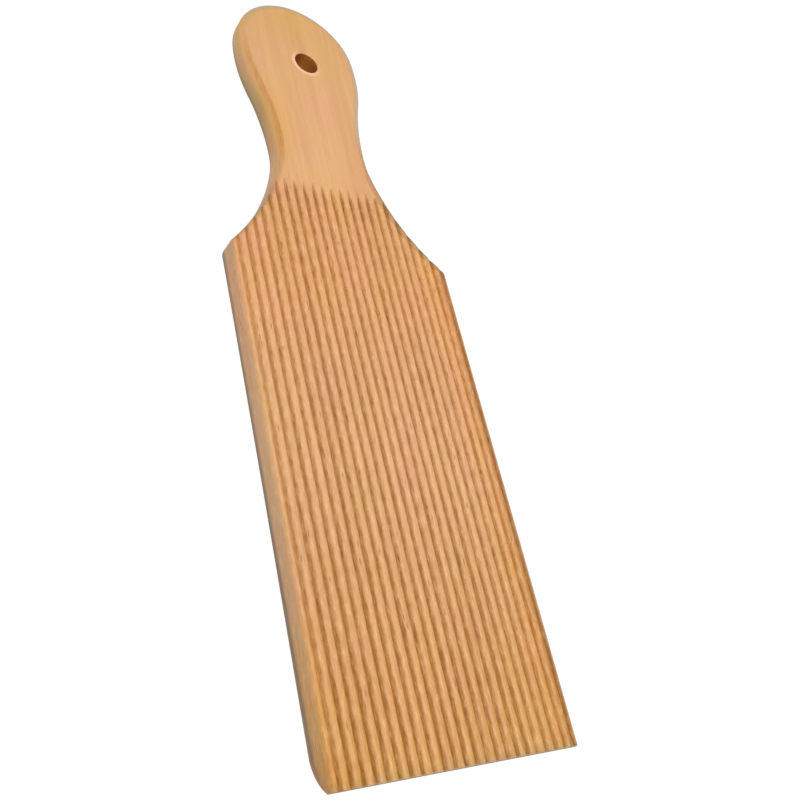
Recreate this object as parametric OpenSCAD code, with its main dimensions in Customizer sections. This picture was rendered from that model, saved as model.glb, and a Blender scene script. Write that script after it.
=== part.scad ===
// Fluted board for rolling gnocchi, cut from one blank of beech.
// The board lies on its back, fluted face up, with the grip towards plus Y.

/* [Blade] */
// Length from the lower end to the tip of the grip
board_l = 220; // [200:1:260]
// Width of the fluted blade
board_w = 65; // [58:1:80]
// Thickness of the blank
board_t = 7; // [6:0.5:10]
// Rounding of the long edges of the blade
edge_r = 0.8; // [0.4:0.1:1.2]
// Rounding of the shoulder corners, seen from above
corner_r = 2.2; // [1.4:0.1:4]
// Radius of the rounded lower end on the back
nose_r = 10; // [8:0.5:12]
// Flat band of the lower end between the face and that rounding
nose_land = 2; // [0.6:0.1:2.6]

/* [Grip] */
// Distance from the tip down to the shoulder corners
grip_l = 90.9; // [86:0.1:98]
// Distance from the tip down to the narrowest point
neck_drop = 55.2; // [52:0.2:60]
// Width at the narrowest point
neck_w = 28.6; // [26:0.2:31]
// Greatest width of the grip
grip_w = 38; // [35:0.2:40]
// Radius of the long curve down each side of the grip
side_r = 48; // [38:1:54]
// Sweep of that curve in degrees above the widest point, where the round tip starts
side_sweep = 5.4; // [4:0.2:10]
// Radius of the curve just below the narrowest point
throat_r = 27; // [22:1:38]
// Sweep of that curve in degrees before the wider one takes over
throat_sweep = 15; // [10:1:18]
// Offset of the grip to the right of the blade's middle
grip_shift = 0.9; // [-1.5:0.1:1.5]
// Rounding of the edges of the grip
grip_edge_r = 2; // [1:0.1:2.6]

/* [Hanging hole] */
// Diameter of the hole
hole_d = 7.2; // [5:0.1:10]
// Distance from the tip down to the hole
hole_drop = 22.4; // [16:0.1:28]
// Offset of the hole to the right of the grip's middle
hole_shift = 1.5; // [-4:0.1:4]

/* [Flutes] */
// Distance between neighbouring grooves
flute_pitch = 2.82; // [2.5:0.02:3.2]
// Depth of the grooves
flute_d = 0.6; // [0.4:0.05:0.9]
// Flat band left on top of each ridge
land_w = 0.5; // [0.3:0.1:0.9]
// Flat band at the bottom of each groove
floor_w = 0.3; // [0.2:0.1:0.6]
// Distance from the left edge to the first groove
first_flute = 1.95; // [1.8:0.05:3.2]
// Least wood left between the last groove and the right edge
last_margin = 0.8; // [0.6:0.1:2]
// Distance from the tip down to where the grooves fade out
flute_drop = 67.6; // [64:0.2:80]
// Radius of the cutter wheel, which shapes the fading ends
cutter_r = 30; // [15:1:40]

/* [Hidden] */

// Reach of every cutter past the surface that it leaves
over = 2;
// Steps along each curve of the outline
corner_steps = 5;
flare_steps = 12;
throat_steps = 4;
neck_steps = 6;
side_steps = 9;
tip_steps = 13;
// Steps around each rounded edge
round_steps = 4;
circle_steps = 96;

low_y = -board_l / 2;
tip_y = board_l / 2;
half_w = board_w / 2;
half_neck = neck_w / 2;
half_grip = grip_w / 2;
neck_y = tip_y - neck_drop;
shoulder_y = tip_y - grip_l;

// Tip circle on the middle line, and the side circle that holds it from inside
tip_r = side_r - (side_r - half_grip) / cos(side_sweep);
tip_c = [0, tip_y - tip_r];
side_c = [half_grip - side_r, tip_c[1] - (side_r - tip_r) * sin(side_sweep)];

// Curve above the narrowest point, touching the side circle from outside
swell = half_grip - half_neck;
swell_l = side_c[1] - neck_y;
reach = (swell * swell + swell_l * swell_l) / (2 * swell);
neck_r = reach - side_r;
neck_c = [half_neck + neck_r, neck_y];
neck_a = asin(swell_l / reach);

// Curve just below the narrowest point
throat_c = [half_neck + throat_r, neck_y];
throat_n = [cos(throat_sweep), sin(throat_sweep)];
throat_end = throat_c - throat_r * throat_n;

// Wide curve from there out to the shoulder corner
to_corner = [half_w, shoulder_y] - throat_end;
flare_r = (to_corner * to_corner) / (2 * (to_corner * throat_n));
flare_c = throat_end + flare_r * throat_n;
corner_x = half_w - corner_r;
corner_run = flare_c[0] - corner_x;
corner_y = flare_c[1] - sqrt(pow(flare_r + corner_r, 2) - corner_run * corner_run);
corner_c = [corner_x, corner_y];
corner_a = atan2(flare_c[1] - corner_y, corner_run);

// Side, round corner and grip edge: each point has its place and outward normal
function hollow(c, r, a0, a1, n) = [
  for (i = [0 : n])
    let (a = a0 + (a1 - a0) * i / n)
    [c[0] - r * cos(a), c[1] - r * sin(a), cos(a), sin(a)]
];
function bulge(c, r, a0, a1, n) = [
  for (i = [0 : n])
    let (a = a0 + (a1 - a0) * i / n)
    [c[0] + r * cos(a), c[1] + r * sin(a), cos(a), sin(a)]
];
function after_first(list) = [for (i = [1 : len(list) - 1]) list[i]];

right_edge = concat(
  [[half_w, low_y, 1, 0]],
  bulge(corner_c, corner_r, 0, corner_a, corner_steps),
  after_first(hollow(flare_c, flare_r, corner_a, throat_sweep, flare_steps)),
  after_first(hollow(throat_c, throat_r, throat_sweep, 0, throat_steps)),
  after_first(hollow(neck_c, neck_r, 0, -neck_a, neck_steps)),
  after_first(bulge(side_c, side_r, -neck_a, side_sweep, side_steps)),
  after_first(bulge(tip_c, tip_r, side_sweep, 90, tip_steps))
);
left_edge = [
  for (i = [len(right_edge) - 2 : -1 : 0])
    let (p = right_edge[i])
    [-p[0], p[1], -p[2], p[3]]
];
edge = concat(right_edge, left_edge);
count = len(edge);

// From the shoulder to the narrowest point the edge rounding grows and the grip moves aside
function blend(y) = max(0, min(1, (y - shoulder_y) / (neck_y - shoulder_y)));
function round_at(y) = edge_r + (grip_edge_r - edge_r) * blend(y);
function shift_at(y) = grip_shift * pow(blend(y), 2) * (3 - 2 * blend(y));

// One ring around the blank: inward by k and up by m of the rounding, from level z
function ring(k, m, z) = [
  for (p = edge)
    let (r = round_at(p[1]), x = p[0] + shift_at(p[1]))
    [x - k * r * p[2], p[1] - k * r * p[3], z + m * r]
];
back_rings = [
  for (j = [0 : round_steps])
    let (a = 90 * j / round_steps)
    ring(1 - sin(a), 1 - cos(a), 0)
];
face_rings = [
  for (j = [0 : round_steps])
    let (a = 90 - 90 * j / round_steps)
    ring(1 - sin(a), cos(a) - 1, board_t)
];
rings = concat(back_rings, face_rings);
ring_points = [for (r = rings) for (p = r) p];
ring_faces = [
  for (j = [0 : len(rings) - 2])
    for (i = [0 : count - 1])
      let (k = (i + 1) % count)
      for (f = [
        [j * count + i, (j + 1) * count + i, (j + 1) * count + k],
        [j * count + i, (j + 1) * count + k, j * count + k]
      ]) f
];

// Each flat side is laid in strips, from a point of the right edge to its mirror on the left
half_n = len(right_edge);
function mirrored(i) = 2 * half_n - 2 - i;
strips = [for (i = [0 : half_n - 3]) [i, i + 1, mirrored(i + 1), mirrored(i)]];
back_faces = concat(strips, [[half_n - 2, half_n - 1, half_n]]);
last_ring = (len(rings) - 1) * count;
front_faces = [
  for (f = back_faces)
    [for (i = [len(f) - 1 : -1 : 0]) f[i] + last_ring]
];

module blank() {
  polyhedron(
    points = ring_points,
    faces = concat(back_faces, ring_faces, front_faces),
    convexity = 6
  );
}

// Lower end: square at the face, then one big rounding that meets the back at a slight angle
nose_bite = 0.15;
nose_depth = board_t - nose_land;
nose_z = nose_r - nose_bite;
nose_run = sqrt(nose_r * nose_r - pow(nose_z - nose_depth, 2));

module nose_cut() {
  wide = board_w + 2 * over;
  translate([-wide / 2, low_y, 0])
    rotate([90, 0, 90])
    linear_extrude(height = wide)
    difference() {
      translate([-over, -over])
        square([nose_run + over, nose_z + over]);
      translate([nose_run, nose_z])
        circle(r = nose_r, $fn = circle_steps);
    }
}

// Each groove has a narrow flat floor between two round ridges, whose tops are cut flat by the face
half_pitch = flute_pitch / 2;
half_land = land_w / 2;
ridge_foot = half_pitch - floor_w / 2;
ridge_drop = (pow(ridge_foot, 2) + pow(flute_d, 2) - pow(half_land, 2)) / (2 * flute_d);
ridge_r = norm([half_land, ridge_drop]);
groove_half = half_pitch - half_land / 2;
groove_n = floor((board_w - first_flute - last_margin) / flute_pitch) + 1;
fade_y = tip_y - flute_drop;
fade_a = acos((cutter_r - flute_d) / cutter_r);
fade_run = cutter_r * sin(fade_a);
straight_end = fade_y - fade_run;
// Height of the cutter above the face, and degrees that it turns on in the open
lift = 1;
cutter_clear = 4;
wheel_steps = 180;

module groove_shape() {
  difference() {
    translate([-groove_half, -flute_d])
      square([2 * groove_half, flute_d + lift]);
    translate([-half_pitch, -ridge_drop])
      circle(r = ridge_r, $fn = circle_steps);
    translate([half_pitch, -ridge_drop])
      circle(r = ridge_r, $fn = circle_steps);
  }
}

module comb_shape() {
  for (k = [0 : groove_n - 1])
    translate([first_flute - half_w + k * flute_pitch, 0])
      groove_shape();
}

module flutes() {
  translate([0, straight_end, board_t])
    rotate([90, 0, 0])
    linear_extrude(height = straight_end - low_y + over)
    comb_shape();
  translate([0, straight_end, board_t - flute_d + cutter_r])
    rotate([0, 90, 0])
    rotate_extrude(angle = fade_a + cutter_clear, $fn = wheel_steps)
    translate([cutter_r - flute_d, 0])
    rotate(90)
    comb_shape();
}

module hanging_hole() {
  translate([grip_shift + hole_shift, tip_y - hole_drop, -over])
    cylinder(d = hole_d, h = board_t + 2 * over, $fn = circle_steps);
}

module board() {
  color([0.87, 0.68, 0.47])
    difference() {
      blank();
      nose_cut();
      flutes();
      hanging_hole();
    }
}

board();
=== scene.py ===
import math

import bpy
import numpy as np
from mathutils import Matrix, Vector


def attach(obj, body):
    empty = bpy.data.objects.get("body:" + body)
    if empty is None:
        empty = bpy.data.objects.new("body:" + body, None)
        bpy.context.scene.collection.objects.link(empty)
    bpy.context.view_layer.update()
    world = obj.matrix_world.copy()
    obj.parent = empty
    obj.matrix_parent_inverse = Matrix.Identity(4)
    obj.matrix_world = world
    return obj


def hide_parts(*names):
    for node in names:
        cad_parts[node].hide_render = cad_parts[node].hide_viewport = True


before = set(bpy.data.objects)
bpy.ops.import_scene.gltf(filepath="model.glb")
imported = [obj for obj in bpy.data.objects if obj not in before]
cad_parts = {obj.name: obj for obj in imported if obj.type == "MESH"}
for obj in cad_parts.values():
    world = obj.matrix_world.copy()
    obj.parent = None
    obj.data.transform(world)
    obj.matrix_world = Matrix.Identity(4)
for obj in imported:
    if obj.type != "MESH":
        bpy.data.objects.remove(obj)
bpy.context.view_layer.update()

MM = 0.001

# The sizes of the board, in millimetres and degrees, as the CAD source has them
BOARD_L, BOARD_W, BOARD_T = 220.0, 65.0, 7.0
EDGE_R, CORNER_R = 0.8, 2.2
NOSE_R, NOSE_LAND, NOSE_BITE = 10.0, 2.0, 0.15
GRIP_L, NECK_DROP, NECK_W, GRIP_W = 90.9, 55.2, 28.6, 38.0
SIDE_R, SIDE_SWEEP = 48.0, 5.4
THROAT_R, THROAT_SWEEP = 27.0, 15.0
GRIP_EDGE_R, GRIP_SHIFT = 2.0, 0.9
HOLE_D, HOLE_DROP, HOLE_SHIFT = 7.2, 22.4, 1.5
PITCH, FLUTE_D, FIRST_FLUTE, LAST_MARGIN = 2.82, 0.6, 1.95, 0.8
FLUTE_DROP, CUTTER_R = 67.6, 30.0

HALF_W, LOW_Y, TIP_Y = BOARD_W / 2, -BOARD_L / 2, BOARD_L / 2
NECK_Y, SHOULDER_Y = TIP_Y - NECK_DROP, TIP_Y - GRIP_L
GROOVES = int((BOARD_W - FIRST_FLUTE - LAST_MARGIN) / PITCH) + 1
HOLE = np.array([GRIP_SHIFT + HOLE_SHIFT, TIP_Y - HOLE_DROP])
# Rounding of the lower end: height of its centre, and how far it reaches up the back
NOSE_Z = NOSE_R - NOSE_BITE
NOSE_RUN = math.sqrt(NOSE_R ** 2 - (NOSE_Z - BOARD_T + NOSE_LAND) ** 2)
# The grooves fade out over FADE_RUN, where the cutter wheel leaves the wood; past CLEAR_RUN its
# height is not followed any further
FADE_RUN = math.sqrt(CUTTER_R ** 2 - (CUTTER_R - FLUTE_D) ** 2)
FADE_START = TIP_Y - FLUTE_DROP - FADE_RUN
CLEAR_RUN = 0.9 * CUTTER_R

# Wear and cutter marks that only the scene has, in millimetres
HOLE_EASE, CREST_SOFT, LEFT_SOFT = 0.35, 0.02, 1.5
END_EASE, END_EASE_RUN = 0.22, 0.3
# Share of each groove's side that its round floor takes
VALLEY_SHARE = 0.3
# Slow waver of the groove depth: its size, then for each wave its share, radians per millimetre,
# radians per groove and start
FLUTE_WANDER = 0.05
WAVES = ((1.0, 0.071, 2.399, 0.0), (0.6, 0.173, 4.1, 1.3), (0.35, 0.41, 1.7, 0.0))
# Largest share of the thickness that an edge takes, and least share left to the wall between two
MOST_DROP, LEAST_WALL = 0.42, 0.15
# Edge of the back, as values at places along Y: share of its rounding that is kept, and growth
BACK_SHARP = ((-100.0, -48.0), (0.12, 1.0))
BACK_SOFT = ((-48.0, 0.0, 40.0, 55.0), (1.0, 1.7, 1.7, 1.0))

# Fineness of the mesh, in millimetres
OUTLINE_STEP, RIM_STEP, LEAST_STEPS = 0.05, 0.75, 8
# Columns: their shares of each groove spacing, the step along the shoulders, the widest step in X
# that counts as steep, and the least gaps kept in both groups
RIDGE_SHARES = np.array([0, 0.07, 0.16, 0.28, 0.39, 0.5, 0.61, 0.72, 0.84, 0.93])
STEEP_STEP, STEEP_WIDTH = 0.45, 0.22
RIDGE_GAP, STEEP_GAP = 0.1, 0.045
# Rows: distances above the lower end, then shares of the way from BEND_Y up to each column's top,
# as the end and number of each run
END_ROWS, NOSE_ROWS = (0, 0.05, 0.13, 0.28, 0.6), (1.1, 7.7, 0.55)
PLAIN_START, PLAIN_STEP, PLAIN_GAP = 8.4, 2.6, 1.2
BEND_Y = 10.0
BENT_ROWS = ((0.52, 17), (0.72, 31), (1.0, 11))
# Loops around the hole: shares of the way in, then millimetres outside the eased rim with the
# strength of its painted highlight, then degrees of the eased rim, then shares of the thickness
HOLE_SHARES = (0.05, 0.12, 0.21, 0.32, 0.44, 0.56, 0.67, 0.77, 0.86)
LIP_LOOPS = ((1.05, 0.0), (0.65, 0.7), (0.25, 1.0))
EASE_LOOPS = (0, 25, 50, 75, 90)
BORE_LOOPS = (0.75, 0.5, 0.25)
# Steps of each rounded edge, and shares of the wall's height between them
EDGE_STEPS = 7
WALL_ROWS = (0.33, 0.67)

# Marks that the material reads: edge where a rounding starts, edge on the rows just below the
# right shoulder, which sets painted arris shade there, and reach of the edge mark up from the
# lower end
EDGE_START, END_MARK_RUN = 0.35, 0.6
RIGHT_SHOULDER_EDGE = (0.14, 0.26, 0.29, 0.29, 0.29)
# How much the fading ends keep of the groove mark, which sets the painted groove shade, its
# limit, and its softness on the edges
GROOVE_END_KEEP, MOST_GROOVE, CUT_SOFT = 0.55, 1.2, 0.15
# Painted highlight on the hole's lip: strength all round, lean, and direction where it is weakest
LIP_BASE, LIP_LEAN, LIP_AWAY = 0.35, 0.75, np.array([0.6, 0.8])


def arc(centre, radius, start, end, hollow):
    """Points and outward normals along one arc of the right-hand outline."""
    n = max(LEAST_STEPS, int(abs(end - start) * radius / OUTLINE_STEP))
    a = np.linspace(start, end, n + 1)
    normal = np.stack([np.cos(a), np.sin(a)], 1)
    return centre + (-radius if hollow else radius) * normal, normal


def right_outline():
    """The outline from the top of the long edge, over the shoulder and neck, to the tip."""
    half_neck, half_grip = NECK_W / 2, GRIP_W / 2
    sweep, throat = math.radians(SIDE_SWEEP), math.radians(THROAT_SWEEP)
    tip_r = SIDE_R - (SIDE_R - half_grip) / math.cos(sweep)
    tip_c = np.array([0.0, TIP_Y - tip_r])
    side_c = np.array([half_grip - SIDE_R, tip_c[1] - (SIDE_R - tip_r) * math.sin(sweep)])
    swell, rise = half_grip - half_neck, side_c[1] - NECK_Y
    reach = (swell ** 2 + rise ** 2) / (2 * swell)
    neck_r, neck_a = reach - SIDE_R, math.asin(rise / reach)
    neck_c = np.array([half_neck + neck_r, NECK_Y])
    throat_c = np.array([half_neck + THROAT_R, NECK_Y])
    throat_n = np.array([math.cos(throat), math.sin(throat)])
    throat_end = throat_c - THROAT_R * throat_n
    to_corner = np.array([HALF_W, SHOULDER_Y]) - throat_end
    flare_r = to_corner @ to_corner / (2 * (to_corner @ throat_n))
    flare_c = throat_end + flare_r * throat_n
    run = flare_c[0] - (HALF_W - CORNER_R)
    corner_y = flare_c[1] - math.sqrt((flare_r + CORNER_R) ** 2 - run ** 2)
    corner_c = np.array([HALF_W - CORNER_R, corner_y])
    corner_a = math.atan2(flare_c[1] - corner_y, run)
    parts = [
        arc(corner_c, CORNER_R, 0, corner_a, False),
        arc(flare_c, flare_r, corner_a, throat, True),
        arc(throat_c, THROAT_R, throat, 0, True),
        arc(neck_c, neck_r, 0, -neck_a, True),
        arc(side_c, SIDE_R, -neck_a, sweep, False),
        arc(tip_c, tip_r, sweep, math.pi / 2, False),
    ]
    points = np.concatenate([p if i == 0 else p[1:] for i, (p, _) in enumerate(parts)])
    normals = np.concatenate([n if i == 0 else n[1:] for i, (_, n) in enumerate(parts)])
    return points, normals


def blend(y):
    """From 0 at the shoulder corners to 1 at the neck."""
    return np.clip((y - SHOULDER_Y) / (NECK_Y - SHOULDER_Y), 0, 1)


def edge_round(y):
    """Radius of the rounded edges, which grows from the blade to the neck."""
    return EDGE_R + (GRIP_EDGE_R - EDGE_R) * blend(y)


def inset_line(side):
    """Where the flat face ends along one side (1 right, -1 left), as rows of place, normal and
    edge radius, and which of them lie below the neck."""
    points, normals = right_outline()
    mirror = np.array([side, 1.0])
    t = blend(points[:, 1])
    radius = edge_round(points[:, 1])
    aside = np.column_stack([GRIP_SHIFT * t * t * (3 - 2 * t), np.zeros(len(t))])
    normals = normals * mirror
    line = points * mirror + aside - radius[:, None] * normals
    return np.column_stack([line, normals, radius]), points[:, 1] <= NECK_Y + 1e-9


def distance_along(points):
    """Distance of each point from the first, measured along the line."""
    return np.concatenate([[0], np.cumsum(np.hypot(*np.diff(points, axis=0).T))])


def unit_rows(vectors):
    return vectors / np.linalg.norm(vectors, axis=1)[:, None]


def wander(k, y):
    """Waver in the depth of groove k, as a hand-fed cutter leaves it."""
    total = sum(
        size * np.sin(y * per_mm + k * per_groove + start)
        for size, per_mm, per_groove, start in WAVES
    )
    return FLUTE_WANDER * total / sum(wave[0] for wave in WAVES)


def soft_min(a, b):
    """The lower of two heights, rounded off where they cross."""
    return 0.5 * (a + b - np.sqrt((a - b) ** 2 + CREST_SOFT ** 2))


def face_height(x, y):
    """Height of the fluted face against its flat, and the groove mark, at each point."""
    half = PITCH / 2
    k = np.clip(np.round((x + HALF_W - FIRST_FLUTE) / PITCH), 0, GROOVES - 1)
    d = np.abs(x + HALF_W - FIRST_FLUTE - k * PITCH)
    whole_r = (half ** 2 + FLUTE_D ** 2) / (2 * FLUTE_D)
    valley_r = whole_r * VALLEY_SHARE
    ridge_r = whole_r - valley_r
    bend = half * VALLEY_SHARE
    valley = valley_r - FLUTE_D - np.sqrt(valley_r ** 2 - np.clip(d, 0, bend) ** 2)
    ridge = np.sqrt(ridge_r ** 2 - np.clip(half - d, 0, half - bend) ** 2) - ridge_r
    profile = np.where(d < bend, valley, ridge) * (FLUTE_D + wander(k, y)) / FLUTE_D
    past = np.clip(y - FADE_START, 0, CLEAR_RUN)
    lift = CUTTER_R - np.sqrt(CUTTER_R ** 2 - past ** 2)
    crest = CREST_SOFT / 2 * np.exp(-np.abs(profile) / CREST_SOFT)
    z = soft_min(profile + lift, 0) + crest
    z = np.where(d > half, 0, np.minimum(z, 0))
    # Fading grooves keep more of their mark, which sets the painted groove shade
    fading = 1 - GROOVE_END_KEEP * np.clip(past / FADE_RUN, 0, 1)
    return z, np.clip(-z / FLUTE_D, 0, MOST_GROOVE) ** fading


def back_height(y):
    """Height of the back, which rises in one big rounding at the lower end."""
    t = np.clip(LOW_Y + NOSE_RUN - y, 0, NOSE_RUN)
    return np.maximum(0, NOSE_Z - np.sqrt(NOSE_R ** 2 - t ** 2))


class Shell:
    """Collects vertices and faces, with four numbers per vertex that the material reads."""

    MARKS = ("groove", "edge", "bore", "lip")

    def __init__(self):
        self.points, self.faces = [], []
        self.marks = {name: [] for name in self.MARKS}
        self.count = 0

    def add(self, xyz, **marks):
        """Adds points, with their marks, and returns their numbers."""
        xyz = np.asarray(xyz, float).reshape(-1, 3)
        ids = np.arange(self.count, self.count + len(xyz))
        self.points.append(xyz)
        for name in self.MARKS:
            value = np.asarray(marks.get(name, 0.0), float)
            self.marks[name].append(np.broadcast_to(value, value.shape or (len(xyz),)).ravel())
        self.count += len(xyz)
        return ids

    def level(self, xy, z, **marks):
        """Adds points of a plan, all at height z or each at its own."""
        return self.add(np.column_stack([xy, np.broadcast_to(z, len(xy))]), **marks)

    def at(self, ids):
        return np.concatenate(self.points)[ids]

    def grid(self, ids, flip=False):
        """Quads over a table of vertex numbers."""
        a, b, c, d = ids[:-1, :-1], ids[1:, :-1], ids[1:, 1:], ids[:-1, 1:]
        quads = np.stack([a, d, c, b] if flip else [a, b, c, d], -1).reshape(-1, 4)
        self.faces += quads.tolist()


def column_places(lines, neck_xs):
    """X places of the blade's columns: along each ridge, and closer where the shoulder is steep."""
    ks = np.arange(-1, GROOVES + 1)[:, None]
    ridge = (FIRST_FLUTE - HALF_W + (ks + RIDGE_SHARES) * PITCH).ravel()
    edge = HALF_W - EDGE_R
    steep = []
    for line, lower in lines:
        below = line[lower, :2]
        s = distance_along(below)
        want = np.interp(np.arange(0, s[-1], STEEP_STEP), s, below[:, 0])
        steep.append(want[np.concatenate([np.abs(np.diff(want)), [1]]) < STEEP_WIDTH])
    places = [-edge, *neck_xs, edge]
    for group, gap in ((ridge, RIDGE_GAP), (np.concatenate(steep), STEEP_GAP)):
        for x in group:
            if abs(x) < edge and np.min(np.abs(np.array(places) - x)) > gap:
                places.append(x)
    return np.array(sorted(places))


class Columns:
    """The blade's columns: places, tops with normals and edge radii, and the two at the neck."""

    def __init__(self, lines):
        neck_half = NECK_W / 2 - GRIP_EDGE_R
        neck_xs = [GRIP_SHIFT - neck_half, GRIP_SHIFT + neck_half]
        self.xs = column_places(lines, neck_xs)
        self.left, self.right = (int(np.argmin(np.abs(self.xs - x))) for x in neck_xs)
        tables = [line[lower] for line, lower in lines]
        tables = [table[np.argsort(table[:, 0])] for table in tables]
        tops = []
        for x in self.xs:
            table = tables[int(x > 0)]
            tops.append([np.interp(x, table[:, 0], table[:, c]) for c in range(1, 5)])
        tops = np.array(tops)
        self.top_y, self.radii = tops[:, 0], tops[:, 3]
        self.top_y[self.left:self.right + 1] = NECK_Y
        self.normals = unit_rows(tops[:, 1:3])


def row_places(top_y):
    """Y places of the rows in each column: close at the lower end and where the grooves fade."""
    low_rows = np.concatenate([
        LOW_Y + np.array(END_ROWS),
        LOW_Y + np.arange(*NOSE_ROWS),
        np.arange(LOW_Y + PLAIN_START, BEND_Y - PLAIN_GAP, PLAIN_STEP),
    ])
    shares, start = [], 0.0
    for stop, count in BENT_ROWS:
        shares.append(np.linspace(start, stop, count, endpoint=False))
        start = stop
    shares = np.concatenate([*shares, [1.0]])
    return np.concatenate([
        np.repeat(low_rows[None], len(top_y), 0),
        BEND_Y + (top_y - BEND_Y)[:, None] * shares[None],
    ], 1)


def blade_faces(shell, columns):
    """The fluted face and the back, up to the shoulders and the neck."""
    ys = row_places(columns.top_y)
    xs = np.repeat(columns.xs[:, None], ys.shape[1], 1)
    z, depth = face_height(xs, ys)
    ease = END_EASE * np.clip(1 - (ys - LOW_Y) / END_EASE_RUN, 0, 1) ** 2
    mark = np.clip(1 - (ys - LOW_Y) / END_MARK_RUN, 0, 1)
    mark[[0, -1]] = np.maximum(mark[[0, -1]], EDGE_START)
    mark[:columns.left + 1, -1] = EDGE_START
    mark[columns.right:, -1] = EDGE_START
    # Edge marks that set painted arris shade below the right shoulder
    mark[columns.right + 1:, -1 - len(RIGHT_SHOULDER_EDGE):-1] = RIGHT_SHOULDER_EDGE
    front = shell.add(np.stack([xs, ys, BOARD_T + z - ease], -1), groove=depth, edge=mark)
    back = shell.add(np.stack([xs, ys, back_height(ys)], -1), edge=mark)
    front, back = front.reshape(ys.shape), back.reshape(ys.shape)
    shell.grid(front)
    shell.grid(back, flip=True)
    return front, back


def grip_outline(line, lower):
    """Places, normals and edge radii of the grip's inset line, right side up and left side down."""
    upper = line[~lower]
    s = distance_along(upper[:, :2])
    at = np.linspace(0, s[-1], int(s[-1] / RIM_STEP) + 1)[1:]
    table = np.stack([np.interp(at, s, column) for column in upper.T], 1)
    xy, normals, radii = table[:, :2], unit_rows(table[:, 2:4]), table[:, 4]
    flip = np.array([-1, 1])
    left_xy = xy[-2::-1] * flip + np.array([2 * GRIP_SHIFT, 0])
    return (
        np.concatenate([xy, left_xy]),
        np.concatenate([normals, normals[-2::-1] * flip]),
        np.concatenate([radii, radii[-2::-1]]),
    )


def hole_grid(shell, outer, level, up):
    """Round grid over one side of the grip, from its edge in to the hole's eased rim."""
    ray = shell.at(outer)[:, :2] - HOLE
    ray_len = np.linalg.norm(ray, axis=1)[:, None]
    unit = ray / ray_len
    wide = HOLE_D / 2 + HOLE_EASE
    # Strength of the lip's painted highlight, weakest towards LIP_AWAY
    lip_light = np.clip(LIP_BASE - LIP_LEAN * (unit @ LIP_AWAY), 0, 1)
    loops = [outer]
    for t in HOLE_SHARES:
        loops.append(shell.level(HOLE + unit * (ray_len + (wide - ray_len) * t), level))
    for out, share in LIP_LOOPS:
        loops.append(shell.level(HOLE + unit * (wide + out), level, lip=share * lip_light))
    for degrees in EASE_LOOPS:
        a, done = math.radians(degrees), degrees / 90
        at_r = HOLE_D / 2 + HOLE_EASE * (1 - math.sin(a))
        height = level - up * HOLE_EASE * (1 - math.cos(a))
        loops.append(shell.level(HOLE + unit * at_r, height, bore=done, lip=lip_light * (1 - done)))
    closed = np.array([np.append(loop, loop[0]) for loop in loops])
    shell.grid(closed, flip=up > 0)
    return closed[-1]


def bore_wall(shell, front_rim, back_rim):
    """The wall of the hole, between its two eased rims."""
    xy = shell.at(front_rim[:-1])[:, :2]
    loops = [shell.level(xy, BOARD_T * share, bore=1.0) for share in BORE_LOOPS]
    closed = [np.append(loop, loop[0]) for loop in loops]
    shell.grid(np.array([front_rim, *closed, back_rim]), flip=True)


def edge_path(front, back, columns, grip):
    """Numbers on both sides, normal and edge radius all round: right, grip, then left."""
    last, rows = len(front) - 1, range(front.shape[1])

    def long_edge(i, j, side):
        return front[i, j], back[i, j], (side, 0.0), EDGE_R

    def shoulder(i):
        return front[i, -1], back[i, -1], columns.normals[i], columns.radii[i]

    path = [long_edge(last, j, 1.0) for j in rows]
    path += [shoulder(i) for i in range(last - 1, columns.right - 1, -1)]
    path += zip(*grip)
    path += [shoulder(i) for i in range(columns.left, 0, -1)]
    path += [long_edge(0, j, -1.0) for j in reversed(rows)]
    return [np.array(values) for values in zip(*path)]


def edge_mark(a):
    return EDGE_START + (1 - EDGE_START) * math.sin(a)


def edge_band(shell, ids_f, ids_b, normals, radii):
    """Rounded edge of the face, wall and rounded edge of the back, all the way round."""
    top, low = shell.at(ids_f), shell.at(ids_b)
    low_z = low[:, 2]
    thick = top[:, 2] - low_z
    ease = BOARD_T + face_height(top[:, 0], top[:, 1])[0] - top[:, 2]
    worn = np.clip(0.5 - normals[:, 0], 0, 1)
    drop_f = radii + np.maximum(LEFT_SOFT - radii, 0) * worn
    drop_f = np.minimum(drop_f, MOST_DROP * (BOARD_T - low_z))
    drop_b = np.minimum(radii * np.interp(low[:, 1], *BACK_SOFT), MOST_DROP * thick)
    sharp = np.interp(low[:, 1], *BACK_SHARP)
    steps = np.radians(np.linspace(0, 90, EDGE_STEPS + 1)[1:])
    rows = [ids_f]
    for a in steps:
        xy = top[:, :2] + normals * (radii * math.sin(a))[:, None]
        cut, dark = face_height(xy[:, 0], xy[:, 1])
        drop = -drop_f * (1 - math.cos(a))
        height = BOARD_T - ease + soft_min(cut, drop)
        height = np.maximum(height, low_z + drop_b + LEAST_WALL * thick)
        open_cut = np.clip(0.5 + (drop - cut) / CUT_SOFT, 0, 1)
        rows.append(shell.level(xy, height, edge=edge_mark(a), groove=dark * open_cut))
    wall_xy = top[:, :2] + normals * radii[:, None]
    foot = low_z + drop_b * sharp
    for share in WALL_ROWS:
        rows.append(shell.level(wall_xy, height + (foot - height) * share, edge=1.0))
    for a in steps[::-1]:
        xy = low[:, :2] + normals * (radii * (1 - sharp * (1 - math.sin(a))))[:, None]
        height = low_z + drop_b * sharp * (1 - math.cos(a))
        rows.append(shell.level(xy, height, edge=edge_mark(a)))
    band = np.array([*rows, ids_b])
    shell.grid(band)
    return band


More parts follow.
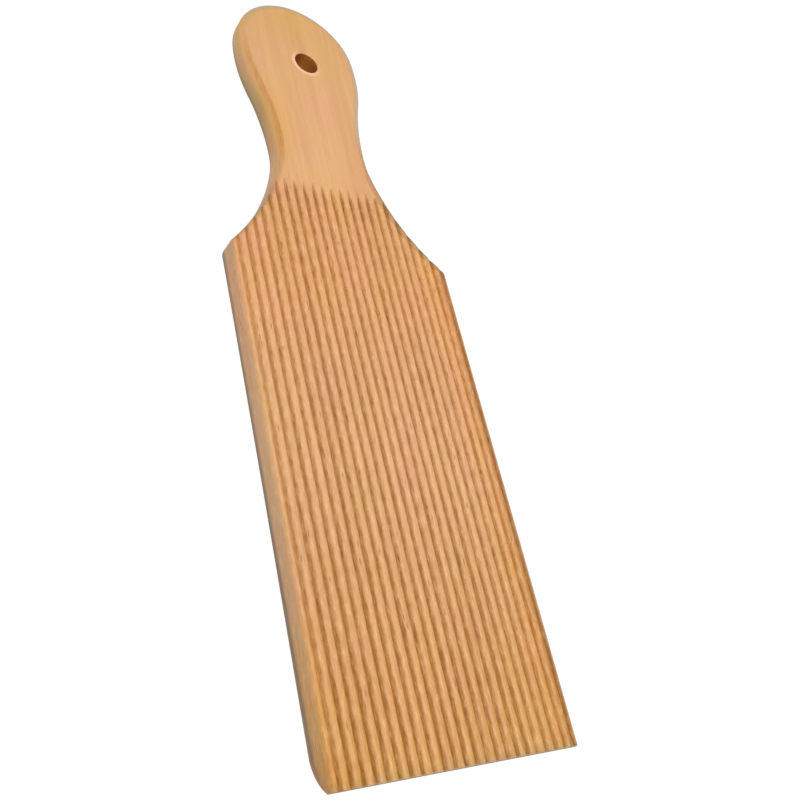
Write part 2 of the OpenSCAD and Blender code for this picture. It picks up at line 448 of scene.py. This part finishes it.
def board_mesh():
    """The whole board as one closed mesh."""
    shell = Shell()
    lines = [inset_line(side) for side in (-1, 1)]
    columns = Columns(lines)
    sides = blade_faces(shell, columns)
    xy, normals, radii = grip_outline(*lines[1])
    levels = (BOARD_T, 0.0)
    rims = [shell.level(xy, level, edge=EDGE_START) for level in levels]
    bore = []
    for side, rim, level, up in zip(sides, rims, levels, (1, -1)):
        outer = np.concatenate([side[columns.left:columns.right + 1, -1], rim])
        bore.append(hole_grid(shell, outer, level, up))
    bore_wall(shell, *bore)
    front, back = sides
    band = edge_band(shell, *edge_path(front, back, columns, (*rims, normals, radii)))

    # Lower end: a strip across, and a small cap where each long edge is rounded
    shell.grid(np.array([front[:, 0], back[:, 0]]).T, flip=True)
    shell.faces.append(band[:, 0][::-1].tolist())
    shell.faces.append(band[:, -1].tolist())
    return shell


# Edges steeper than this, in degrees, are shaded as sharp
SHARP_ANGLE = 42


def make_board(material):
    shell = board_mesh()
    mesh = bpy.data.meshes.new("beech_board")
    points = np.concatenate(shell.points) * MM
    mesh.from_pydata(points.tolist(), [], shell.faces)
    for name, values in shell.marks.items():
        mark = mesh.attributes.new(name, "FLOAT", "POINT")
        mark.data.foreach_set("value", np.concatenate(values).astype(np.float32))
    mesh.materials.append(material)
    mesh.validate()
    for p in mesh.polygons:
        p.use_smooth = True
    mesh.set_sharp_from_angle(angle=math.radians(SHARP_ANGLE))
    board = bpy.data.objects.new("beech_board", mesh)
    bpy.context.scene.collection.objects.link(board)
    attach(board, "root")
    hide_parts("board")


# Pairs of colours, as linear light, that a grain pattern or a place mixes
GOLDEN, PINKISH = (0.607, 0.340, 0.140), (0.615, 0.325, 0.158)
END_LIGHT, END_DARK = (0.330, 0.170, 0.075), (0.190, 0.085, 0.032)
# Painted shade in the bore, lighter near its top and darker deep down
BORE_SHADE_TOP, BORE_SHADE_DEEP = (0.400, 0.150, 0.024), (0.360, 0.120, 0.014)
# Painted shade in the grooves, paler near the shoulders and darker towards the lower end
VALLEY_SHADE_HIGH, VALLEY_SHADE_LOW = (0.655, 0.545, 0.375), (0.53, 0.435, 0.235)
# Colours laid over the wood, each with its strength
LIGHT_DASH, FLECK = ((0.80, 0.48, 0.27), 0.45), ((0.170, 0.070, 0.020), 0.75)
# Painted sheen on pale rims, and painted shade, greyed, on grey rims
PALE_RIM_SHEEN, GREY_RIM_SHADE = ((0.560, 0.430, 0.290), 0.4), ((0.410, 0.330, 0.230), 0.8)
# Painted shade in the notches and low on the walls
NOTCH_SHADE, FOOT_SHADE = ((0.110, 0.070, 0.035), 0.75), ((0.085, 0.074, 0.060), 1.0)
# Painted highlight on the lip of the hole
LIP = ((0.820, 0.500, 0.310), 0.85)
END_STRENGTH, BORE_STRENGTH = 0.7, 0.97
# Tints multiplied over the wood, each with its strength
# GROOVE_END_DARK deepens the painted groove shade where the grooves fade out
DARK_DASH, GROOVE_END_DARK = ((0.74, 0.62, 0.42), 1.0), ((0.74, 0.66, 0.52), 0.8)
# Painted shade on the arrises, and a cooler, darker rim at the lower end
ARRIS, END_RIM_COOL = ((0.46, 0.41, 0.36), 1.0), ((0.82, 0.92, 1.0), 0.6)
BORE_SHADE = ((0.60, 0.42, 0.28), 1.0)

# Grain patterns: stretch of the noise in X, Y and Z, then its detail, roughness and distortion
GRAIN = {
    "patch": ((110.0, 70.0, 110.0), 2.0, 0.5, 0.3),
    "band": ((210.0, 6.0, 90.0), 3.0, 0.6, 0.15),
    "streak": ((1500.0, 34.0, 1500.0), 4.0, 0.65, 0.0),
    "tone": ((390.0, 14.0, 200.0), 2.0, 0.5, 0.0),
    "dash": ((1900.0, 340.0, 1900.0), 4.0, 0.65, 0.0),
    "fibre": ((5200.0, 420.0, 5200.0), 2.0, 0.6, 0.0),
    "fleck": ((420.0, 70.0, 420.0), 1.0, 0.5, 0.0),
    "pores": ((2600.0, 400.0, 2600.0), 2.0, 0.6, 0.0),
}
# Ray flecks: stretch of their cells, and distances from a cell's middle where they end and start
FLECK_CELLS, FLECK_EDGE, FLECK_CORE = (1150.0, 165.0, 1150.0), 0.20, 0.10

# A ramp is what it reads, where it starts and where it ends, and its two shares if they are not
# 0 and 1. It reads a grain pattern, a mark of the mesh, or a place in millimetres: x, y, z, or
# above, the height over the back.
PLACES = ("x", "y", "z", "above")
BLADE, TORN = ("y", 46, 36), ("y", 46, 36, 0.16, 0.92)
ROUGHNESS = ("streak", 0.3, 0.75, 0.50, 0.64)
WALL, ARRIS_BAND = ("edge", 0.5, 0.9), (("edge", 0.05, 0.6), ("edge", 1.0, 0.75))
RIM, RIM_BAND = ("edge", 1.0, 0.85), (("edge", 0.45, 0.72), ("edge", 1.0, 0.85))
# Painted shade on the grip's left wall
GRIP_WALL_SHADE = (("y", 50, 66), ("y", 92, 76), ("x", 0, -8), WALL)
LOWER_RIGHT = (("x", 0, 12), ("y", -55, -80))

# Heights in metres between which the bore's painted shade darkens, and how far that border strays
BORE_TOP, BORE_DEEP, BORE_RAGGED = 6.6 * MM, 3.5 * MM, 0.8 * MM
# Relief: how much each pattern adds, strength and depth in millimetres
DASH_RISE, FIBRE_RISE, FLECK_DROP = 0.6, 0.4, 0.5
BUMP_STRENGTH, BUMP_DEPTH = 0.35, 0.15
# Shine in the open and in the bore, and how far a groove counts as the bore does
WOOD_IOR, SHINE, GROOVE_HIDES = 1.5, (0.5, 0.06), 0.85

# Tints multiplied over the bare wood one after the other, each with the ramps that limit it
TINTS = (
    # Growth bands, streaks and slow changes of tone
    ((0.90, 0.84, 0.76), ("band", 0.45, 0.72, 0, 0.30)),
    ((0.80, 0.72, 0.62), ("streak", 0.5, 0.80, 0, 0.55), ("y", 46, 36, 0.6, 1.0)),
    ((0.93, 0.91, 0.87), ("tone", 0.36, 0.64)),
    # Lower half, whole blade, its middle, its top and its lower end
    ((0.87, 0.83, 0.57), ("y", -40, -95)),
    ((1.03, 0.98, 0.96), BLADE),
    ((0.955, 0.985, 1.03), ("y", 4, -14), ("y", -90, -62)),
    ((0.975, 0.965, 0.90), ("y", -6, 16), BLADE),
    ((0.98, 0.985, 0.87), ("y", -98, -108)),
    # Tip of the grip, right side of the blade, lower left edge and lower left corner
    ((0.945, 0.965, 0.75), ("y", 82, 104)),
    ((1.04, 0.96, 0.72), ("x", 22, 30)),
    ((1.0, 0.97, 0.70), ("x", -28, -32.5), ("y", -70, -100)),
    ((0.97, 0.925, 0.68), ("x", -22, -29), ("y", -103, -108)),
    # Walls: left side of the blade, lit by a painted reflection of the floor, the grip all round,
    # and painted shade on its left side, darker low down
    ((1.04, 1.10, 1.22), ("x", -30, -32), ("y", 0, -50), WALL, ("y", -104, -98)),
    ((1.05, 1.08, 0.93), ("y", 45, 70), WALL),
    ((0.89, 0.88, 0.86), *GRIP_WALL_SHADE),
    ((0.60, 0.75, 0.95), *GRIP_WALL_SHADE, ("z", 5.2, 1.4)),
    # Left of the neck, painted shade and reflection greying the wall of the left shoulder, and
    # painted shade in the last groove on the right
    ((0.975, 0.96, 0.75), ("y", 43, 54), ("y", 80, 62), ("x", -7, -11)),
    ((0.84, 1.02, 1.20), ("y", 10, 20), ("y", 42, 34), ("x", -10, -16), ("edge", 0.4, 0.8)),
    ((0.69, 0.64, 0.54), ("x", 29.3, 30.3), ("y", 24, 18), ("x", 31.1, 32.1, 1.0, 0.35)),
    # Crease where the face of the grip turns into its left edge
    ((0.80, 0.68, 0.46), ("edge", 0.08, 0.36), ("edge", 0.88, 0.60), ("y", 46, 56),
     ("y", 95, 84), ("x", -4, -10), ("dash", 0.38, 0.60, 0.55, 1.0)),
    ((0.965, 0.970, 0.90), *LOWER_RIGHT),
)


class Nodes:
    """Small helper that adds shader nodes and joins them."""

    def __init__(self, name):
        self.material = bpy.data.materials.new(name)
        self.material.use_nodes = True
        self.tree = self.material.node_tree
        self.tree.nodes.clear()

    def add(self, kind, inputs=None, **props):
        node = self.tree.nodes.new(kind)
        for key, value in props.items():
            setattr(node, key, value)
        for key, value in (inputs or {}).items():
            self.feed(node, key, value)
        return node

    def feed(self, node, key, value):
        if isinstance(value, bpy.types.NodeSocket):
            self.tree.links.new(value, node.inputs[key])
        else:
            node.inputs[key].default_value = value

    def math(self, operation, a, b=None):
        node = self.add("ShaderNodeMath", {0: a}, operation=operation)
        if b is not None:
            self.feed(node, 1, b)
        return node.outputs[0]

    def span(self, value, low, high, out_low=0.0, out_high=1.0):
        """From out_low to out_high while the value goes from low to high, and level beyond."""
        node = self.add("ShaderNodeMapRange", {0: value, 1: low, 2: high, 3: out_low, 4: out_high})
        node.clamp = True
        return node.outputs[0]

    def mix(self, share, a, b, blend="MIX"):
        """Mixes two colours, each a socket or three numbers."""
        node = self.add("ShaderNodeMix", data_type="RGBA", blend_type=blend)
        for key, value in ((0, share), (6, a), (7, b)):
            self.feed(node, key, (*value, 1) if isinstance(value, tuple) else value)
        return node.outputs[2]

    def finish(self, inputs):
        """Adds the surface shader and its output, and returns the material."""
        shader = self.add("ShaderNodeBsdfPrincipled", inputs)
        self.add("ShaderNodeOutputMaterial", {"Surface": shader.outputs[0]})
        return self.material


class Wood(Nodes):
    """Nodes that read the grain, the marks of the mesh and the place on the board."""

    def __init__(self, name):
        super().__init__(name)
        self.place = self.add("ShaderNodeTexCoord").outputs["Object"]
        self.reads = dict(zip("xyz", self.add("ShaderNodeSeparateXYZ", {0: self.place}).outputs))
        for mark in Shell.MARKS:
            self.reads[mark] = self.add("ShaderNodeAttribute", attribute_name=mark).outputs["Fac"]
        for pattern, (stretch, detail, rough, warp) in GRAIN.items():
            self.reads[pattern] = self.add("ShaderNodeTexNoise", {
                "Vector": self.stretched(stretch), "Scale": 1.0,
                "Detail": detail, "Roughness": rough, "Distortion": warp,
            }).outputs["Fac"]
        self.reads["above"] = self.math("SUBTRACT", self.reads["z"], self.back_rise())

    def stretched(self, stretch):
        return self.add("ShaderNodeMapping", {"Vector": self.place, "Scale": stretch}).outputs[0]

    def back_rise(self):
        """Height of the back, as back_height has it."""
        past = self.math("SUBTRACT", (LOW_Y + NOSE_RUN) * MM, self.reads["y"])
        past = self.math("MAXIMUM", past, 0.0)
        square = self.math("SUBTRACT", (NOSE_R * MM) ** 2, self.math("MULTIPLY", past, past))
        rise = self.math("SUBTRACT", NOSE_Z * MM, self.math("SQRT", square))
        return self.math("MAXIMUM", rise, 0.0)

    def ramp(self, what, start, end, share_start=0.0, share_end=1.0):
        unit = MM if what in PLACES else 1.0
        return self.span(self.reads[what], start * unit, end * unit, share_start, share_end)

    def fold(self, operation, parts):
        """Joins ramps, sockets and plain numbers by one operation."""
        total = None
        for part in parts:
            value = self.ramp(*part) if isinstance(part, tuple) else part
            total = value if total is None else self.math(operation, total, value)
        return total

    def share(self, *parts):
        return self.fold("MULTIPLY", parts)

    def most(self, *parts):
        return self.fold("MAXIMUM", parts)

    def tint(self, below, colour, *parts):
        """Multiplies a colour over what lies below, as strongly as the parts say."""
        return self.mix(self.share(*parts), below, colour, "MULTIPLY")

    def cover(self, below, colour, *parts):
        """Lays a colour over what lies below, as strongly as the parts say."""
        return self.mix(self.share(*parts), below, colour)


def bare_wood(n):
    """Golden to pinkish tan in broad patches, with the tints of grain and place, and painted shade
    and reflection on some walls and in the last groove.
    """
    colour = n.mix(n.ramp("patch", 0.36, 0.64), GOLDEN, PINKISH)
    for tint, *ramps in TINTS:
        colour = n.tint(colour, tint, *ramps)
    return colour


def torn_fibres(n, below):
    """Short light and dark dashes, strong on the cut blade and faint on the sanded grip."""
    dark = n.tint(below, *DARK_DASH, ("dash", 0.52, 0.72), TORN, ("groove", 0.1, 0.6, 0.45, 1.0))
    return n.cover(dark, *LIGHT_DASH, ("dash", 0.48, 0.30), TORN)


def ray_flecks(n):
    """Share of the short thin dark lines along the grain."""
    cells = n.add("ShaderNodeTexVoronoi", {
        "Vector": n.stretched(FLECK_CELLS), "Scale": 1.0, "Randomness": 1.0,
    }, feature="F1")
    line = n.span(cells.outputs["Distance"], FLECK_EDGE, FLECK_CORE)
    return n.share(line, ("fleck", 0.50, 0.60), TORN)


def groove_shade_share(n):
    """Share of painted groove shade: ragged border, less at both sides and lower right."""
    ragged = n.math("ADD", n.reads["groove"], n.ramp("dash", 0.3, 0.7, -0.14, 0.14))
    return n.share(
        n.span(ragged, 0.28, 1.0), ("groove", 0.0, 0.2),
        ("x", -31.0, -28.5, 0.7, 1.0), ("x", 10, 26, 1.0, 0.90),
        n.span(n.share(*LOWER_RIGHT), 0.0, 1.0, 1.0, 0.86),
    )


def shaded_grooves(n, below, low):
    """Painted shade in the grooves, browner and darker with depth and where they fade out."""
    valley = n.mix(n.ramp("y", 20, -90), VALLEY_SHADE_HIGH, VALLEY_SHADE_LOW)
    return n.tint(n.tint(below, valley, low), *GROOVE_END_DARK, low, ("y", 28, 38))


def end_grain(n, below):
    """Dark pores where an edge faces along the board."""
    normal = n.add("ShaderNodeNewGeometry").outputs["Normal"]
    along = n.add("ShaderNodeSeparateXYZ", {0: normal}).outputs[1]
    facing = n.span(n.math("ABSOLUTE", along), 0.45, 0.95)
    pores = n.mix(n.ramp("pores", 0.45, 0.7), END_LIGHT, END_DARK)
    return n.cover(below, pores, END_STRENGTH, facing, ("edge", 0.5, 1.0))


def edge_light_and_shade(n, below):
    """Painted shade on the arrises, on grey rims, in the notches and low on the walls, and
    painted sheen on pale rims.
    """
    # Painted shade on the rounded edges, damping their highlight
    arris = n.share(*ARRIS_BAND)
    strength = n.share(
        ("x", -12, 12, 0.3, 1.0), ("y", 12, 20, 0.36, 1.0), ("y", 45, 60, 1.0, 0.32),
    )
    strength = n.most(strength, ("y", 99, 107, 0, 0.45), ("y", -108.0, -109.2, 0, 0.15))
    colour = n.tint(below, *ARRIS, arris, strength)
    # Painted sheen on pale rims: right of the neck and at the lower end
    right_rim = n.share(("x", 6, 14), ("y", 60, 50))
    end_rim = n.share(("y", -108.8, -109.5), ("x", -30, -24, 0.3, 1.0))
    colour = n.cover(colour, *PALE_RIM_SHEEN, n.most(right_rim, end_rim), *RIM_BAND)
    # Cooler and darker on the rim of the lower end
    colour = n.tint(colour, *END_RIM_COOL, ("y", -108.0, -108.8), RIM)
    # Painted shade, greyed, on the grip's right rim and its tip
    grey = n.most(n.share(("x", 3, 13), ("y", 55, 66)), ("y", 98, 106))
    colour = n.cover(colour, *GREY_RIM_SHADE, arris, grey)
    # Painted shade in the notches where the grooves meet the shoulder edge
    colour = n.cover(
        colour, *NOTCH_SHADE, ("groove", 0.35, 0.8), ("edge", 0.3, 0.7),
        ("x", -10, 12, 0.12, 0.8), ("y", 12, 20),
    )
    # Painted shade low on the walls, darker towards the back
    return n.cover(
        colour, *FOOT_SHADE, ("above", 2.7, 1.3), ("edge", 0.4, 0.7), ("y", 45, 60, 0.72, 0.50),
        ("above", 0.3, 0.9, 0.6, 1.0), ("y", -108.8, -103.0, 0.3, 1.0),
    )


def shaded_bore(n, below, deep):
    """Painted shade in the bore, darker with depth and on its left, and a painted highlight on the
    hole's lip.
    """
    colour = n.cover(below, *LIP, n.reads["lip"])
    # Painted shade inside the bore, darker deep down and towards its left
    ragged = n.math("ADD", n.reads["z"], n.ramp("streak", 0.3, 0.7, -BORE_RAGGED, BORE_RAGGED))
    inside = n.mix(n.span(ragged, BORE_TOP, BORE_DEEP), BORE_SHADE_TOP, BORE_SHADE_DEEP)
    inside = n.tint(inside, *BORE_SHADE, ("x", 3.6, 1.4))
    return n.cover(colour, inside, BORE_STRENGTH, deep)


def beech():
    """Steamed beech: fine grain, torn fibres, ray flecks, painted shade in the grooves and the
    bore, and painted light and shade on the edges.
    """
    n = Wood("beech")
    colour = torn_fibres(n, bare_wood(n))
    fleck = ray_flecks(n)
    colour = n.cover(colour, *FLECK, fleck)
    # Share of the painted shade in the grooves
    low = groove_shade_share(n)
    colour = shaded_grooves(n, colour, low)
    colour = edge_light_and_shade(n, end_grain(n, colour))
    deep = n.ramp("bore", 0.6, 1.0)
    colour = shaded_bore(n, colour, deep)

    # Fine relief of the fibres, and less shine in the bore and the grooves
    dashes, fibres = n.share(n.reads["dash"], DASH_RISE), n.share(n.reads["fibre"], FIBRE_RISE)
    relief = n.math("SUBTRACT", n.math("ADD", dashes, fibres), n.share(fleck, FLECK_DROP))
    bump = n.add("ShaderNodeBump", {
        "Strength": BUMP_STRENGTH, "Distance": BUMP_DEPTH * MM, "Height": relief,
    })
    hidden = n.most(deep, n.share(low, GROOVE_HIDES))
    return n.finish({
        "Base Color": colour, "Roughness": n.ramp(*ROUGHNESS), "IOR": WOOD_IOR,
        "Specular IOR Level": n.span(hidden, 0.0, 1.0, *SHINE), "Normal": bump.outputs[0],
    })


# The floor: half its size and its gap below the board in metres, grey, and glow
FLOOR_HALF, FLOOR_GAP = 4.0, 0.0002
FLOOR_GREY, FLOOR_GLOW = 0.04, 0.98


def floor_material():
    return Nodes("pale_floor").finish({
        "Base Color": (FLOOR_GREY, FLOOR_GREY, FLOOR_GREY, 1), "Roughness": 0.9,
        "Specular IOR Level": 0.0,
        "Emission Color": (1, 1, 1, 1), "Emission Strength": FLOOR_GLOW,
    })


def make_floor():
    mesh = bpy.data.meshes.new("floor")
    corners = [(x * FLOOR_HALF, y * FLOOR_HALF, 0) for x, y in ((-1, -1), (1, -1), (1, 1), (-1, 1))]
    mesh.from_pydata(corners, [], [(0, 1, 2, 3)])
    mesh.materials.append(floor_material())
    floor = bpy.data.objects.new("floor", mesh)
    floor.location = (0, 0, -FLOOR_GAP)
    bpy.context.scene.collection.objects.link(floor)


# The camera, in millimetres and unit vectors of the board's own frame, and its lens in pixels
CAMERA_AT = (-132.572, -123.623, 184.866)
CAMERA_RIGHT = (0.82562, -0.21837, 0.52026)
CAMERA_DOWN = (0.05468, -0.88677, -0.45897)
FOCAL_PX, FRAME_PX, SENSOR = 994.73, 800.0, 36.0
CLIP_START, CLIP_END = 0.01, 20


def make_camera():
    data = bpy.data.cameras.new("camera")
    data.sensor_width = SENSOR
    data.sensor_fit = "HORIZONTAL"
    data.lens = FOCAL_PX / FRAME_PX * SENSOR
    data.clip_start, data.clip_end = CLIP_START, CLIP_END
    right = Vector(CAMERA_RIGHT).normalized()
    down = Vector(CAMERA_DOWN)
    down = (down - right * down.dot(right)).normalized()
    forward = right.cross(down)
    turn = Matrix((right, -down, -forward)).transposed()
    camera = bpy.data.objects.new("camera", data)
    camera.matrix_world = Matrix.Translation(Vector(CAMERA_AT) * MM) @ turn.to_4x4()
    bpy.context.scene.collection.objects.link(camera)
    bpy.context.scene.camera = camera


# The key light: place and size in metres, power in watts
KEY_AT, KEY_SIZE, KEY_POWER = (-0.02, -0.2, 1.0), 0.5, 11.4
# The sky: strength up to the lower height of direction and from the upper one
SWEEP_LIGHT, SKY_LIGHT = 1.02, 0.32
FADE_LOW, FADE_HIGH = 0.06, 0.38


def make_key_light():
    data = bpy.data.lights.new("key", "AREA")
    data.shape = "RECTANGLE"
    data.size = data.size_y = KEY_SIZE
    data.energy = KEY_POWER
    light = bpy.data.objects.new("key", data)
    light.location = KEY_AT
    light.rotation_euler = (-Vector(KEY_AT)).to_track_quat("-Z", "Y").to_euler()
    bpy.context.scene.collection.objects.link(light)


def make_sky():
    """Bright near the horizon, where a studio sweep would stand, and dimmer overhead."""
    world = bpy.data.worlds.new("studio")
    world.use_nodes = True
    tree = world.node_tree
    background = tree.nodes["Background"]
    background.inputs["Color"].default_value = (1.0, 1.0, 1.0, 1)
    direction = tree.nodes.new("ShaderNodeTexCoord")
    split = tree.nodes.new("ShaderNodeSeparateXYZ")
    fade = tree.nodes.new("ShaderNodeMapRange")
    fade.interpolation_type = "SMOOTHSTEP"
    for slot, value in zip((1, 2, 3, 4), (FADE_LOW, FADE_HIGH, SWEEP_LIGHT, SKY_LIGHT)):
        fade.inputs[slot].default_value = value
    tree.links.new(direction.outputs["Generated"], split.inputs[0])
    tree.links.new(split.outputs[2], fade.inputs[0])
    tree.links.new(fade.outputs[0], background.inputs["Strength"])
    bpy.context.scene.world = world
    bpy.context.scene.view_settings.view_transform = "Standard"


make_board(beech())
make_floor()
make_camera()
make_key_light()
make_sky()

bpy.context.view_layer.update()
